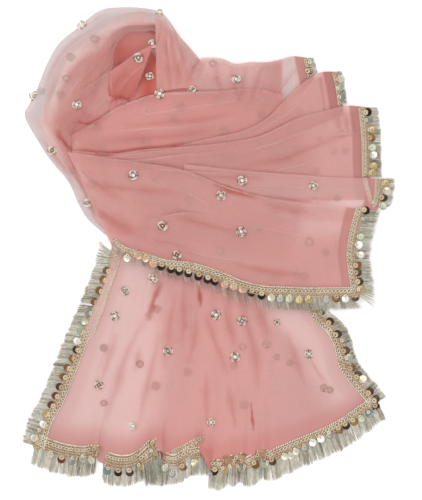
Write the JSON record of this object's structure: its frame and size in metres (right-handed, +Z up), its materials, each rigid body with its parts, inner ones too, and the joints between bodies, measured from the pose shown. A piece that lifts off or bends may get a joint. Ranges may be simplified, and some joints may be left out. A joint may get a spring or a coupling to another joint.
{
  "type": "folded net dupatta stole",
  "caption": "Sheer net dupatta stole with a gold lace border and fringe, folded and laid flat: a fanned ruffled end below, stepped pleats and a puffed turn above.",
  "frame": {"origin": "on the table, under the middle of the stole's outline", "axes": "+Y from the ruffled hem towards the puffed turn, +X to the right with the hem near the viewer, +Z up from the table"},
  "size_m": [0.5637, 0.7275, 0.0449],
  "materials": {
    "net": "sheer soft pink net",
    "net_deep": "layered pink net seen in depth",
    "braid": "knit gold zari lace",
    "fringe": "fine metallic gold and silver threads"
  },
  "bodies": {
    "root": {"pallu_panel": "net", "turn_loop": "net", "fan_pleats": "net", "inner_turn": "net_deep", "back_sheet": "net", "band_roll": "net", "pleat_2": "net", "pleat_3": "net", "pleat_4": "net", "front_drape": "net", "folded_layers": "net_deep", "braid_back_sheet_end": "braid", "braid_pleat_2_end": "braid", "braid_pleat_3_end": "braid", "braid_pleat_4_end": "braid", "braid_front_drape_end": "braid", "braid_front_drape_edge": "braid", "braid_pallu_left": "braid", "braid_pallu_right": "braid", "braid_hem_1": "braid", "braid_hem_2": "braid", "braid_hem_3": "braid", "braid_hem_4": "braid", "braid_hem_5": "braid", "braid_hem_6": "braid", "fringe_back_sheet_end": "fringe", "fringe_pleat_2_end": "fringe", "fringe_pleat_3_end": "fringe", "fringe_pleat_4_end": "fringe", "fringe_front_drape_end": "fringe", "fringe_front_drape_edge": "fringe", "fringe_pallu_left": "fringe", "fringe_pallu_right": "fringe", "fringe_hem_1": "fringe", "fringe_hem_2": "fringe", "fringe_hem_3": "fringe", "fringe_hem_4": "fringe", "fringe_hem_5": "fringe", "fringe_hem_6": "fringe"}
  },
  "joints": []
}
